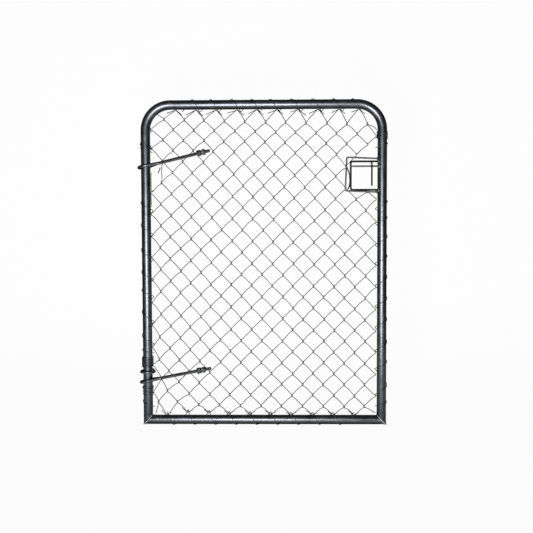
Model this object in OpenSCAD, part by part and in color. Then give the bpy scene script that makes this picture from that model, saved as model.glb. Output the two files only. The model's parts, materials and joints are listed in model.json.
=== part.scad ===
// Single swing gate leaf: a bent pipe frame with round top corners, laced chain-link mesh,
// a barred hand hole at the latch stile and two loose rod eyes that turn on the hinge stile.
// Millimetres. +X runs from the hinge stile to the latch stile, +Y to the back, +Z up.
// The origin is on the lower gudgeon, where the washer's face bears on the gate post.

/* [Leaf] */
// Overall width of the leaf over the pipes
leaf_w = 900; // [700:10:1200]
// Overall height of the leaf over the pipes
leaf_h = 1195; // [1000:5:1500]

/* [Frame pipe] */
// Outside diameter of the frame pipe
pipe_d = 34.9; // [26.9:0.1:42.4]
// Wall of the frame pipe
pipe_wall = 2; // [1.6:0.1:3.2]
// Radius of the two top bends at the pipe's centre line
bend_r = 92; // [80:1:150]
// How far the weld bead stands proud of a mitre
bead_h = 1.4; // [0.8:0.1:3]
// Width of the weld bead along a mitre
bead_w = 7; // [4:0.5:12]

/* [Chain-link mesh] */
// Nominal width of one diamond
diamond_w = 74.2; // [50:0.1:90]
// Nominal height of one diamond
diamond_h = 81; // [50:0.1:95]
// Diameter of the mesh wire
mesh_wire = 2.5; // [1.6:0.1:3.5]
// Thickness of the woven panel
mesh_depth = 5; // [3:0.5:8]
// How far the rows hang lower at the latch stile than at the hinge stile
mesh_droop = 24; // [0:1:40]
// How far the panel has crept towards the latch stile at its head
mesh_creep = 9; // [0:1:20]
// How far the panel leans towards the hinge stile at its foot
mesh_lean = 28; // [0:1:40]

/* [Lacing wire] */
// Diameter of the lacing wire
lace_d = 3.2; // [2:0.1:4]
// Height of the close wrap above the stop ring
wrap_h = 38.7; // [20:0.1:60]
// Space between the stop ring and the close wrap
wrap_lift = 10; // [2:0.5:20]
// Turns in the close wrap
wrap_turns = 6; // [3:1:8]
// Diameter of the doubled wire in the close wrap
wrap_d = 4.4; // [3:0.1:6]

/* [Gudgeons] */
// Diameter of the gudgeon rod
rod_d = 12; // [10:0.5:14]
// Mean radius of the eye that turns on the stile
eye_r = 25.1; // [24.9:0.1:32]
// Reach of the rod from the stile's axis to its tip
rod_reach = 253; // [230:1:320]
// Depth of the upper eye below the top of the leaf
upper_eye_drop = 240; // [225:1:345]
// Height of the lower eye above the foot of the leaf
lower_eye_z = 163; // [140:1:175]
// How far the upper shank rises as it folds across the leaf, in degrees
upper_rise = 12; // [0:0.1:16]
// How far the lower shank rises as it folds across the leaf, in degrees
lower_rise = 12.8; // [0:0.1:16]
// How far the folded shanks stand off the leaf, in degrees
shank_yaw = 14; // [13:0.5:30]
// Distance from the stile's axis to where the eye closes on the shank
eye_throat = 52; // [42:1:60]
// Length of the upper rod's threaded end, from its tip back to the washer
upper_end = 47.5; // [35:0.5:100]
// Length of the lower rod's threaded end, from its tip back to the washer
lower_end = 52.5; // [35:0.5:100]
// Outside diameter of the washer
washer_d = 24; // [20:0.5:30]
// Thickness of the washer
washer_t = 2.5; // [1.5:0.1:4]
// Width of the nut across its flats
nut_af = 19; // [17:0.5:22]
// Height of the nut
nut_h = 10.8; // [8:0.1:12]
// Space left between the two nuts
nut_space = 4.5; // [1:0.5:10]
// Chamfer on the rod's tip
tip_chamfer = 1.5; // [0.5:0.1:3]

/* [Stop ring] */
// Diameter of the rod that the stop ring is bent from
stop_d = 11.5; // [8:0.5:14]
// Height of the stop ring above the foot of the leaf
stop_z = 197; // [192:1:205]
// Diameter of the wire loop that closes the stop ring
tail_d = 4; // [3:0.5:6]

/* [Hand hole] */
// Depth of the hand hole's foot rod below the top of the leaf
hole_drop = 337; // [325:1:495]
// Width of the mesh-edge rod frame, from the stile's surface to its leg
hole_w = 117; // [110:1:140]
// Height of the mesh-edge rod frame between its rods
hole_h = 122; // [115:1:130]
// How far the mesh-edge rod frame has sagged to one side, in degrees
hole_tilt = 2.5; // [0:0.5:4]
// Diameter of the mesh-edge rod
hole_rod_d = 6; // [5:0.5:8]
// Width of the lock hoop, from the stile's surface to its leg
hoop_w = 98; // [90:1:104]
// Height of the lock hoop between its rods
hoop_h = 103; // [95:1:105]
// Diameter of the lock hoop's rod
hoop_rod_d = 7.2; // [6:0.1:9]
// How far the lock hoop stands in front of the leaf's middle plane
hoop_front = 12.5; // [10:0.5:13]
// Height of the hoop's foot rod above the mesh-edge frame's foot rod
hoop_lift = 8; // [6:0.5:12]
// Diameter of the lock rail and the drop bar
bar_d = 6.2; // [5:0.1:8]
// Distance from the hoop's head rod down to the lock rail
rail_drop = 17.5; // [12:0.5:25]
// Distance from the stile's surface to the drop bar
drop_bar_in = 22; // [18:0.5:40]
// Height of the drop bar's foot above the hoop's foot rod
drop_bar_lift = 10; // [5:0.5:20]

/* [Clearances] */
// Gap left at a curved seat
seat_gap = 0.3; // [0.2:0.05:0.4]
// Gap between a washer or nut and the rod
bore_gap = 0.25; // [0.15:0.05:0.4]
// Gap between a weld and the parts it was cut round
weld_gap = 0.1; // [0.05:0.05:0.3]
// Room kept round the turning eyes
swing_gap = 5; // [4:0.5:8]

/* [Hidden] */
$fn = 48;

pipe_r = pipe_d / 2;
bore_r = pipe_r - pipe_wall;
stile_span = leaf_w - pipe_d;
head_z = leaf_h - pipe_r;
bend_z = head_z - bend_r;
cut_over = 1;

// The lacing wire's path runs round the pipe as a polygon, so it is set out by its flats.
lace_steps = 12;
lace_sides = 4;
lace_path_r = (pipe_r + seat_gap + lace_d / 2) / cos(180 / lace_steps);
lace_out = lace_path_r + lace_d / 2;

// The mesh starts just clear of the lacing on every side.
mesh_edge = lace_out + seat_gap + 0.75 * mesh_wire;
mesh_w = stile_span - 2 * mesh_edge;
mesh_h = head_z - pipe_r - 2 * mesh_edge;
cols = 2 * round(mesh_w / diamond_w);
rows = 2 * round(mesh_h / diamond_h);
half_w = mesh_w / cols;
half_h = diamond_h / 2;
strand_half = mesh_wire / 2 / sin(atan2(half_h, half_w));
mesh_foot = pipe_d / 2 + mesh_edge;
mesh_head = leaf_h - mesh_foot;

rod_r = rod_d / 2;
nut_r = nut_af / 2 / cos(30);
hole_rod_r = hole_rod_d / 2;
hoop_rod_r = hoop_rod_d / 2;
bar_r = bar_d / 2;
stop_path_r = pipe_r + seat_gap + stop_d / 2;
wrap_path_r = (pipe_r + seat_gap + wrap_d / 2) / cos(180 / lace_steps);
wrap_top = stop_z + stop_d / 2 + wrap_lift + wrap_h + wrap_d;

// The eye's two strands leave the stile as tangents and meet at the throat.
eye_open = acos(eye_r / eye_throat);
strand = sqrt(pow(eye_throat, 2) - pow(eye_r, 2));
throat_turn = 90 - eye_open;
throat_bend_r = 1.25 * rod_d;
bend_swell = rod_d / 120;
bend_lap = rod_d / 12;
butt = (rod_r + seat_gap + rod_r * cos(2 * throat_turn)) / sin(2 * throat_turn);

// Where the outer side of a strand crosses the mesh, and the first column that clears it.
strand_turn = eye_open - shank_yaw;
eye_side = (eye_r + rod_r) / cos(strand_turn) + swing_gap + strand_half;

upper_eye_z = leaf_h - upper_eye_drop;
foot_wrap_z = lower_eye_z - eye_r * sin(lower_rise) - rod_r - swing_gap - 0.6 * lace_d;
foot_wrap_turns = 2.5;
foot_wrap_h = 1.6 * lace_d * foot_wrap_turns;
latch_face = stile_span - pipe_r;
hole_z = leaf_h - hole_drop;
hole_leg_x = latch_face - hole_w;
hoop_leg_x = latch_face - hoop_w;
split_col = round((hole_leg_x - mesh_edge) / half_w);
hoop_foot_z = hole_z + hoop_lift;
hoop_head_z = hoop_foot_z + hoop_h;
rail_z = hoop_head_z - rail_drop;
drop_bar_x = latch_face - drop_bar_in;
nugget_r = 0.9 * bar_d;

upper_washer_at = rod_reach - upper_end;
lower_washer_at = rod_reach - lower_end;

// Point on the post side of the lower washer, where the rod meets the gate post.
function shank_dir(rise) = [cos(rise) * cos(shank_yaw), -cos(rise) * sin(shank_yaw), sin(rise)];
post_point = [0, 0, lower_eye_z] + lower_washer_at * shank_dir(lower_rise);

// Everything is drawn from the foot of the hinge stile and then carried to the post point.
module from_post() {
    translate(-post_point) children();
}

// ---------- frame ----------

// Extrudes an outline drawn in X and Z through the thickness of the leaf.
module through_leaf(depth) {
    rotate([90, 0, 0]) linear_extrude(depth, center = true) children();
}

module stile_bar(r, x) {
    translate([x, 0, 0]) cylinder(h = bend_z + bend_lap, r = r);
}

module bend_bar(r) {
    translate([bend_r, 0, bend_z]) rotate([90, 0, 0]) rotate([0, 0, 90])
        rotate_extrude(angle = 90) translate([bend_r, 0]) circle(r + bend_swell);
}

// As in the rods further on, the pipe swells by a hair at its bends and its lengths run into them.
module hoop_bar(r) {
    stile_bar(r, 0);
    stile_bar(r, stile_span);
    bend_bar(r);
    translate([stile_span, 0, 0]) mirror([1, 0, 0]) bend_bar(r);
    translate([bend_r - bend_lap, 0, head_z]) rotate([0, 90, 0])
        cylinder(h = stile_span - 2 * (bend_r - bend_lap), r = r);
}

module foot_bar(r, over = 0) {
    translate([-pipe_r - over, 0, pipe_r]) rotate([0, 90, 0]) cylinder(h = leaf_w + 2 * over, r = r);
}

// Region below both mitres, which belongs to the bottom rail.
module rail_side() {
    through_leaf(4 * pipe_d)
        polygon([[-pipe_d, -pipe_r], [stile_span + pipe_d, -pipe_r],
            [stile_span - pipe_d, 3 * pipe_r], [pipe_d, 3 * pipe_r]]);
}

module frame_hoop() {
    color("#3a3d42") from_post() difference() {
        hoop_bar(pipe_r);
        hoop_bar(bore_r);
        rail_side();
    }
}

module bottom_rail() {
    color("#3a3d42") from_post() intersection() {
        difference() {
            foot_bar(pipe_r);
            foot_bar(bore_r, cut_over);
        }
        rail_side();
    }
}

// A collar of weld that follows the 45 degree mitre round the outside of the pipe.
module mitre_bead() {
    intersection() {
        difference() {
            union() {
                translate([0, 0, pipe_r]) cylinder(h = 2 * pipe_d, r = pipe_r + bead_h, center = true);
                translate([0, 0, pipe_r]) rotate([0, 90, 0])
                    cylinder(h = 2 * pipe_d, r = pipe_r + bead_h, center = true);
            }
            translate([0, 0, -pipe_r]) cylinder(h = 4 * pipe_d, r = pipe_r);
            translate([-2 * pipe_d, 0, pipe_r]) rotate([0, 90, 0]) cylinder(h = 4 * pipe_d, r = pipe_r);
        }
        translate([0, 0, pipe_r]) rotate([0, -45, 0])
            cube([2 * sqrt(2) * (pipe_r - 2 * bead_h), 4 * pipe_d, bead_w], center = true);
    }
}

module hinge_corner_weld() {
    color("#4a4c50") from_post() mitre_bead();
}

module latch_corner_weld() {
    color("#4a4c50") from_post() translate([stile_span, 0, 0]) mirror([1, 0, 0]) mitre_bead();
}

// ---------- mesh ----------

// Crossing point of the mesh at a column and row, counted from the top of the hinge stile.
// The outermost knots are held by the lacing, except beside the eyes, where the wire is pulled in.
function knot(i, j) = let (
        u = max(i, by_eye(j) ? 1 : 0) / cols,
        v = j / rows,
        x = mesh_edge + u * mesh_w + mesh_creep * (1 - v) - mesh_lean * v * (1 - u),
        z = leaf_h / 2 + (rows / 2 - j) * half_h + mesh_droop * (1 - v / 2) * (0.5 - i / cols))
    [u == 0 ? mesh_edge : clamp(x, eye_side, stile_span - mesh_edge), clamp(z, mesh_foot, mesh_head)];

function clamp(value, low, high) = min(max(value, low), high);

// Even row whose outermost knot is nearest to the high side of an eye, where the wire would foul it.
function eye_row(z, rise) = let (below_middle = (leaf_h + mesh_droop) / 2 - z - eye_r * sin(rise))
    2 * round(below_middle / half_h / 2 + rows / 4);
function by_eye(j) = j == eye_row(upper_eye_z, upper_rise) || j == eye_row(lower_eye_z, lower_rise);

// Column where a wire turns at a row.
function turn_col(wire, j) = wire + (wire + j) % 2;

module mesh_wire_outline(wire) {
    path = [for (j = [0:rows]) knot(turn_col(wire, j), j)];
    polygon(concat(
        [for (p = path) [p[0] - strand_half, p[1]]],
        [for (k = [rows:-1:0]) [path[k][0] + strand_half, path[k][1]]]));
}

// Inside of the frame, clear of the lacing, with its round top corners.
module mesh_field() {
    inset = lace_out + seat_gap;
    corner_r = bend_r - inset;
    difference() {
        translate([inset, 0]) square([stile_span - 2 * inset, head_z - inset]);
        for (side = [0, 1]) translate([side * stile_span, bend_z]) mirror([side, 0])
            difference() {
                square(bend_r);
                translate([bend_r, 0]) circle(corner_r);
            }
    }
}

// The mesh is cut away inside the hand hole and above it, up to the last whole strand.
module mesh_cut() {
    gap = hole_rod_r + seat_gap;
    below = 3 * mesh_wire;
    edge = knot(cols, 2);
    next = knot(cols - 1, 3);
    hole_head = hole_z + hole_h;
    pivot = [latch_face, hole_z];
    translate(pivot) rotate(-hole_tilt) translate([-hole_w - gap, -gap])
        square([hole_w + gap + pipe_r, hole_h + 2 * gap]);
    polygon([[stile_span, hole_head], [stile_span, edge[1] - below], [edge[0], edge[1] - below],
        [next[0], next[1] - below], [knot(cols - 2, 4)[0], hole_head]]);
}

// Everything on the hinge side of the knots where the last whole wire turns.
module hinge_side(gap = 0) {
    head = knot(split_col, 0);
    foot = knot(split_col, rows);
    reach = strand_half + gap;
    polygon([[0, head[1]], [head[0] + reach, head[1]], [foot[0] + reach, foot[1]], [0, foot[1]]]);
}

module chain_link_mesh() {
    color("#6b6e72") from_post() through_leaf(mesh_depth) difference() {
        intersection() {
            union() {
                for (wire = [0:split_col - 1]) mesh_wire_outline(wire);
            }
            mesh_field();
        }
        mesh_cut();
    }
}

module latch_side_mesh() {
    color("#6b6e72") from_post() through_leaf(mesh_depth) difference() {
        intersection() {
            union() {
                for (wire = [split_col:cols - 1]) mesh_wire_outline(wire);
            }
            mesh_field();
        }
        mesh_cut();
        hinge_side(seat_gap);
    }
}

// ---------- lacing ----------

// A coil of wire round the Z axis that starts at +X and works downwards.
module wire_coil(path_r, wire_d, pitch, turns, sides = lace_sides) {
    climb = atan2(pitch, 360 * path_r / (180 / PI));
    steps = ceil(turns * lace_steps);
    ring = [for (k = [0:steps]) let (
            a = 360 * turns * k / steps,
            out = [cos(a), sin(a), 0],
            along = [-sin(a) * cos(climb), cos(a) * cos(climb), -sin(climb)],
            up = cross(out, along))
        [for (s = [0:sides - 1]) let (b = 360 * (s + 0.5) / sides)
            path_r * out - [0, 0, pitch * a / 360] + wire_d / 2 / cos(180 / sides)
                * (cos(b) * out + sin(b) * up)]];
    points = [for (r = ring) for (p = r) p];
    skin = [for (k = [0:steps - 1]) for (s = [0:sides - 1]) let (
            a = k * sides + s,
            b = k * sides + (s + 1) % sides,
            c = (k + 1) * sides + (s + 1) % sides,
            d = (k + 1) * sides + s)
        each [[a, b, c], [a, c, d]]];
    caps = [[for (s = [sides - 1:-1:0]) s], [for (s = [0:sides - 1]) steps * sides + s]];
    polyhedron(points, concat(skin, caps), convexity = 10);
}

module top_lacing() {
    color("#34363a") from_post() translate([knot(2, 0)[0], 0, head_z]) rotate([0, -90, 0])
        rotate([0, 0, 180]) wire_coil(lace_path_r, lace_d, 2 * half_w, cols / 2 - 2);
}

module bottom_lacing() {
    color("#34363a") from_post() translate([knot(2, 0)[0], 0, pipe_r]) rotate([0, -90, 0])
        wire_coil(lace_path_r, lace_d, 2 * half_w, cols / 2 - 2);
}

// Lacing down a stile from one height to another, toward the mesh at its start.
module stile_lacing(top, foot) {
    translate([0, 0, top]) wire_coil(lace_path_r, lace_d, 2 * half_h, (top - foot) / (2 * half_h));
}

// The hinge stile is laced in lengths that leave the two eyes free to turn.
module hinge_stile_lacing() {
    eye_room = eye_r * sin(upper_rise) + rod_r + swing_gap + lace_d;
    color("#34363a") from_post() {
        stile_lacing(knot(0, 2)[1], upper_eye_z + eye_room);
        rotate([0, 0, 180]) stile_lacing(knot(0, 7)[1], wrap_top + lace_d);
        stile_lacing(min(knot(0, rows - 2)[1], foot_wrap_z - foot_wrap_h - 2 * lace_d), 2 * pipe_d - lace_d);
    }
}

// The latch stile is laced above and below the hand hole.
module latch_stile_lacing() {
    color("#34363a") from_post() translate([stile_span, 0, 0]) mirror([1, 0, 0]) {
        stile_lacing(knot(cols, 2)[1], hole_z + hole_h + nugget_r + 2 * lace_d);
        stile_lacing(hole_z - half_h, 2 * pipe_d);
    }
}

module stile_wrap() {
    color("#34363a") from_post() translate([0, 0, wrap_top - wrap_d / 2])
        wire_coil(wrap_path_r, wrap_d, wrap_h / wrap_turns, wrap_turns, 6);
}

module foot_wrap() {
    color("#34363a") from_post() translate([0, 0, foot_wrap_z])
        wire_coil(lace_path_r, lace_d, foot_wrap_h / foot_wrap_turns, foot_wrap_turns);
}

// The stop ring is closed by a loop of wire that stands on its front, on the mesh's side.
module stop_ring() {
    loop_r = 1.25 * tail_d;
    color("#34363a") from_post() translate([0, 0, stop_z]) {
        rotate_extrude() translate([stop_path_r, 0]) circle(stop_d / 2);
        rotate([0, 0, -35]) translate([stop_path_r + stop_d / 4, 0, stop_d / 2 + loop_r / 2])
            rotate([0, 90, 0]) rotate_extrude() translate([loop_r, 0]) circle(tail_d / 2);
    }
}

// ---------- hand hole ----------

// A rod bent into a three-sided frame that opens towards the latch stile. The rod swells by a hair
// at its bends, and each straight length runs a little way into them.
module three_sided(leg_x, foot, head, rod, corner, front, gap) {
    r = rod / 2 + gap;
    lap = bend_lap / 2;
    rod_end = stile_span - leg_x - corner;
    translate([0, -front, 0]) {
        translate([leg_x, 0, foot + corner - lap]) cylinder(h = head - foot - 2 * (corner - lap), r = r);
        for (end = [0, 1]) translate([0, 0, end * (head + foot)]) mirror([0, 0, end]) {
            translate([leg_x + corner - lap, 0, foot]) rotate([0, 90, 0])
                cylinder(h = rod_end + lap, r = r);
            translate([leg_x + corner, 0, foot + corner]) rotate([90, 0, 0]) rotate([0, 0, 180])
                rotate_extrude(angle = 90) translate([corner, 0]) circle(r + bend_swell);
        }
    }
}

// Room taken by the latch stile, which the rod ends butt against.
module stile_room(gap) {
    translate([stile_span, 0, 0]) cylinder(h = leaf_h, r = pipe_r + gap);
}

module hole_rods(gap = 0) {
    foot_end = [latch_face, 0, hole_z];
    translate(foot_end) rotate([0, hole_tilt, 0]) translate(-foot_end)
        three_sided(hole_leg_x, hole_z, hole_z + hole_h, hole_rod_d, 2 * hole_rod_d, 0, gap);
}

module hoop_rods(gap = 0) {
    three_sided(hoop_leg_x, hoop_foot_z, hoop_head_z, hoop_rod_d, hoop_rod_d, hoop_front, gap);
}

module rail_rod(gap = 0) {
    translate([hoop_leg_x, -hoop_front, rail_z]) rotate([0, 90, 0])
        cylinder(h = stile_span - hoop_leg_x, r = bar_r + gap);
}

module hand_hole_frame() {
    color("#54575b") from_post() difference() {
        hole_rods();
        stile_room(seat_gap);
    }
}

module lock_hoop() {
    color("#2c2e31") from_post() difference() {
        hoop_rods();
        stile_room(seat_gap);
    }
}

module lock_rail() {
    color("#54575b") from_post() difference() {
        rail_rod();
        hoop_rods(weld_gap);
        stile_room(seat_gap);
    }
}

// A bar across the front of the hoop's head rod and the lock rail, with its head bent back along them.
module drop_bar() {
    front = hoop_front + max(hoop_rod_r, bar_r) + bar_r + seat_gap;
    foot = hoop_foot_z + drop_bar_lift;
    bend = 1.5 * bar_d;
    color("#2c2e31") from_post() translate([0, -front, 0]) {
        translate([drop_bar_x, 0, foot]) cylinder(h = hoop_head_z - bend - foot, d = bar_d);
        translate([drop_bar_x - bend, 0, hoop_head_z - bend]) rotate([90, 0, 0])
            rotate_extrude(angle = 90) translate([bend, 0]) circle(d = bar_d);
        translate([drop_bar_x - bend - bar_d, 0, hoop_head_z]) rotate([0, 90, 0])
            cylinder(h = bar_d, d = bar_d);
    }
}

module lock_welds() {
    front_x = stile_span - sqrt(pow(pipe_r, 2) - pow(hoop_front, 2));
    color("#4a4c50") from_post() difference() {
        union() {
            for (z = [hole_z, hole_z + hole_h]) translate([latch_face, 0, z]) sphere(nugget_r);
            for (z = [hoop_foot_z, hoop_head_z, rail_z]) translate([front_x, -hoop_front, z])
                sphere(nugget_r);
        }
        stile_room(seat_gap);
        hole_rods(weld_gap);
        hoop_rods(weld_gap);
        rail_rod(weld_gap);
    }
}

// ---------- gudgeons ----------

// Stands a gudgeon's own axes at its eye: its shank runs along +X there.
module at_eye(z, rise) {
    translate([0, 0, z]) rotate([0, -rise, -shank_yaw]) children();
}

module on_shank(at) {
    translate([at, 0, 0]) rotate([0, 90, 0]) children();
}

// One bent rod: the shank, a slight bend at the throat, the front strand, the eye round the stile
// and the rear strand, which ends just short of the shank where the weld closes the eye. The rod
// swells by a hair at its bends, and each straight length runs a little way into them.
module gudgeon_rod(gap = 0) {
    set_back = throat_bend_r * tan(throat_turn / 2);
    r = rod_r + gap;
    mirror([0, 1, 0]) {
        rotate([0, 0, eye_open]) rotate_extrude(angle = 360 - 2 * eye_open)
            translate([eye_r, 0]) circle(r + bend_swell);
        rotate([0, 0, eye_open]) translate([eye_r, bend_lap, 0]) rotate([90, 0, 0])
            cylinder(h = strand - set_back + 2 * bend_lap, r = r);
        rotate([0, 0, -eye_open]) translate([eye_r, -bend_lap, 0]) rotate([-90, 0, 0])
            cylinder(h = strand - butt + bend_lap + gap, r = r);
        translate([eye_throat + set_back, throat_bend_r, 0]) rotate([0, 0, -90 - throat_turn])
            rotate_extrude(angle = throat_turn)
                translate([throat_bend_r, 0]) circle(r + bend_swell);
    }
    on_shank(eye_throat + set_back - bend_lap)
        cylinder(h = rod_reach - eye_throat - set_back + bend_lap - tip_chamfer, r = r);
    on_shank(rod_reach - tip_chamfer) cylinder(h = tip_chamfer, r1 = r, r2 = r - tip_chamfer);
}

// Weld that closes the eye, between the rear strand's end and the shank.
module throat_weld() {
    difference() {
        translate([eye_throat - 0.6 * butt, 0.25 * rod_d, 0])
            cylinder(h = 1.3 * rod_r, r = 0.8 * rod_r, center = true);
        gudgeon_rod(weld_gap);
    }
}

module washer(at) {
    on_shank(at) difference() {
        cylinder(h = washer_t, d = washer_d);
        translate([0, 0, -cut_over]) cylinder(h = washer_t + 2 * cut_over, r = rod_r + bore_gap);
    }
}

module nut(at) {
    on_shank(at) difference() {
        cylinder(h = nut_h, r = nut_r, $fn = 6);
        translate([0, 0, -cut_over]) cylinder(h = nut_h + 2 * cut_over, r = rod_r + bore_gap);
    }
}

function inner_nut_at(washer_at) = washer_at + washer_t + seat_gap;
function outer_nut_at(washer_at) = inner_nut_at(washer_at) + nut_h + nut_space;

module upper_gudgeon() {
    color("#3f4146") from_post() at_eye(upper_eye_z, upper_rise) gudgeon_rod();
}

module upper_eye_weld() {
    color("#4a4c50") from_post() at_eye(upper_eye_z, upper_rise) throat_weld();
}

module upper_washer() {
    color("#2c2e31") from_post() at_eye(upper_eye_z, upper_rise) washer(upper_washer_at);
}

module upper_inner_nut() {
    color("#2c2e31") from_post() at_eye(upper_eye_z, upper_rise) nut(inner_nut_at(upper_washer_at));
}

module upper_outer_nut() {
    color("#2c2e31") from_post() at_eye(upper_eye_z, upper_rise) nut(outer_nut_at(upper_washer_at));
}

module lower_gudgeon() {
    color("#3f4146") from_post() at_eye(lower_eye_z, lower_rise) gudgeon_rod();
}

module lower_eye_weld() {
    color("#4a4c50") from_post() at_eye(lower_eye_z, lower_rise) throat_weld();
}

module lower_washer() {
    color("#2c2e31") from_post() at_eye(lower_eye_z, lower_rise) washer(lower_washer_at);
}

module lower_inner_nut() {
    color("#2c2e31") from_post() at_eye(lower_eye_z, lower_rise) nut(inner_nut_at(lower_washer_at));
}

module lower_outer_nut() {
    color("#2c2e31") from_post() at_eye(lower_eye_z, lower_rise) nut(outer_nut_at(lower_washer_at));
}

frame_hoop();
bottom_rail();
hinge_corner_weld();
latch_corner_weld();
chain_link_mesh();
latch_side_mesh();
top_lacing();
bottom_lacing();
hinge_stile_lacing();
latch_stile_lacing();
stile_wrap();
foot_wrap();
stop_ring();
hand_hole_frame();
lock_hoop();
lock_rail();
drop_bar();
lock_welds();
upper_gudgeon();
upper_eye_weld();
upper_washer();
upper_inner_nut();
upper_outer_nut();
lower_gudgeon();
lower_eye_weld();
lower_washer();
lower_inner_nut();
lower_outer_nut();
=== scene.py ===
import json
import math
import random

import bpy
from mathutils import Matrix, Vector, noise


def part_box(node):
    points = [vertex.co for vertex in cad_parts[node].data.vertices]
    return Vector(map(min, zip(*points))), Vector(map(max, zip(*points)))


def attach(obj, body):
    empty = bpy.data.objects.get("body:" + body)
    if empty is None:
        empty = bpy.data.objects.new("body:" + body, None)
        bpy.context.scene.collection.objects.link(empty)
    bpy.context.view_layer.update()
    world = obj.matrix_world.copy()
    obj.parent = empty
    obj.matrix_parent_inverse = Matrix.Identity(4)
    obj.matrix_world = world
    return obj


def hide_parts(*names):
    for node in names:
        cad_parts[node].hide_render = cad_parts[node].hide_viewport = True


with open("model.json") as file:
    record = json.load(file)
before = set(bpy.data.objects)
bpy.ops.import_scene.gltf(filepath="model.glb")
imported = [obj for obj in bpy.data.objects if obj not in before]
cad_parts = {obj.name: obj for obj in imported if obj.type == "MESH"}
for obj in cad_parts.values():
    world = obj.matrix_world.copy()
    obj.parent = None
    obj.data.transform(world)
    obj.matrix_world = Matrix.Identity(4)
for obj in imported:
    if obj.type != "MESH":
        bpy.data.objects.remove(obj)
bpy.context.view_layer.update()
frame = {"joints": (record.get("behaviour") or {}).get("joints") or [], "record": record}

MM = 0.001
X, Y, Z = Vector((1, 0, 0)), Vector((0, 1, 0)), Vector((0, 0, 1))
joints = {j["name"]: j for j in frame["joints"]}
mounts = {m["name"]: m for m in frame["record"]["mounts"]}

# ---------- measures, in millimetres from the foot of the hinge stile's axis ----------

hoop_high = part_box("frame_hoop")[1]
rail_low, rail_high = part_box("bottom_rail")
mesh_low, mesh_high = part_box("chain_link_mesh")
lower_eye = Vector(joints["leaf_swing"]["pos_m"])
upper_eye = Vector(joints["upper_gudgeon_turn"]["pos_m"])
ORIGIN = Vector((lower_eye.x, lower_eye.y, rail_low.z))


def mm(point):
    """A point of the CAD frame in metres, as millimetres from the foot of the hinge stile's axis."""
    return (Vector(point) - ORIGIN) / MM


SEAT = 0.3                    # gap left where one thing lies against another
BEND_SWELL = 0.1              # how far the CAD's bends stand proud of its straight pipe
PIPE_R = (rail_high.y - rail_low.y) / 2 / MM
SPAN = (rail_high.x - rail_low.x) / MM - 2 * PIPE_R      # from one stile's axis to the other's
HEIGHT = (hoop_high.z - rail_low.z) / MM - BEND_SWELL
HEAD = HEIGHT - PIPE_R        # height of the top rail's axis
FACE = SPAN - PIPE_R          # inner side of the latch stile
BEND_R = 92.0                 # of the two top bends, at the pipe's axis
PIPE_SKIN = 0.12              # what the pipe's unevenness may take, so that it stays in the CAD box

LACE_R, THIN_R = 1.6, 1.3     # the wraps' wire, and the single wire between them
LACE_STEPS = 12               # straight lengths in one turn of the CAD's lacing
WRAP_FOOT, WRAP_HEAD = 212.7, 255.8
WRAP_R = 2.0                  # the doubled wire of the close wrap

CAD_WIRE = 2.5                # diameter of the CAD's mesh wire
WIRE_R = 1.4
WIRE_DEEP = (mesh_high.y - mesh_low.y) / 2 / MM - WIRE_R - 0.05   # how far a strand lies off the middle
EDGE = (PIPE_R + SEAT + LACE_R) / math.cos(math.pi / LACE_STEPS) + (LACE_R + SEAT + 0.75 * CAD_WIRE)
COLS, ROWS = 22, 28           # knots across and down, half a diamond apart
HALF_W = (SPAN - 2 * EDGE) / COLS                        # EDGE is from a pipe's axis to the outermost knots
HALF_H = 40.5
DROOP = 24.0                  # how far the rows hang lower at the latch stile than at the hinge stile
CREEP, LEAN = 9.0, 28.0       # how far the mesh has crept to the latch at its head, to the hinge at its foot
EYE_SIDE = 52.5               # first column of knots that clears the turning eyes

ROD_R, EYE_R, THROAT, REACH = 6.0, 25.1, 52.0, 253.0
BORE_R = ROD_R + 0.25         # of the washers and nuts
WASHER_R, WASHER_T = 12.0, 2.5
NUT_FLATS, NUT_H, NUT_SPACE = 19.0, 10.8, 4.5
THREAD_BEFORE = 28            # how far the thread runs on behind the washer
TIP_CHAMFER = 1.5

STOP_Z, STOP_R = 197.0, 5.75
HOLE_Z, HOLE_W, HOLE_H, HOLE_TILT = HEIGHT - 337, 117.0, 122.0, math.radians(2.5)
HOLE_ROD_R, HOOP_ROD_R, BAR_R = 3.0, 3.6, 3.1
HOOP_X, HOOP_FRONT = FACE - 98, 12.5
HOOP_FOOT, HOOP_HEAD = HOLE_Z + 8, HOLE_Z + 8 + 103
RAIL_Z, BAR_X = HOOP_HEAD - 17.5, FACE - 22


# ---------- mesh tools ----------

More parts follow.
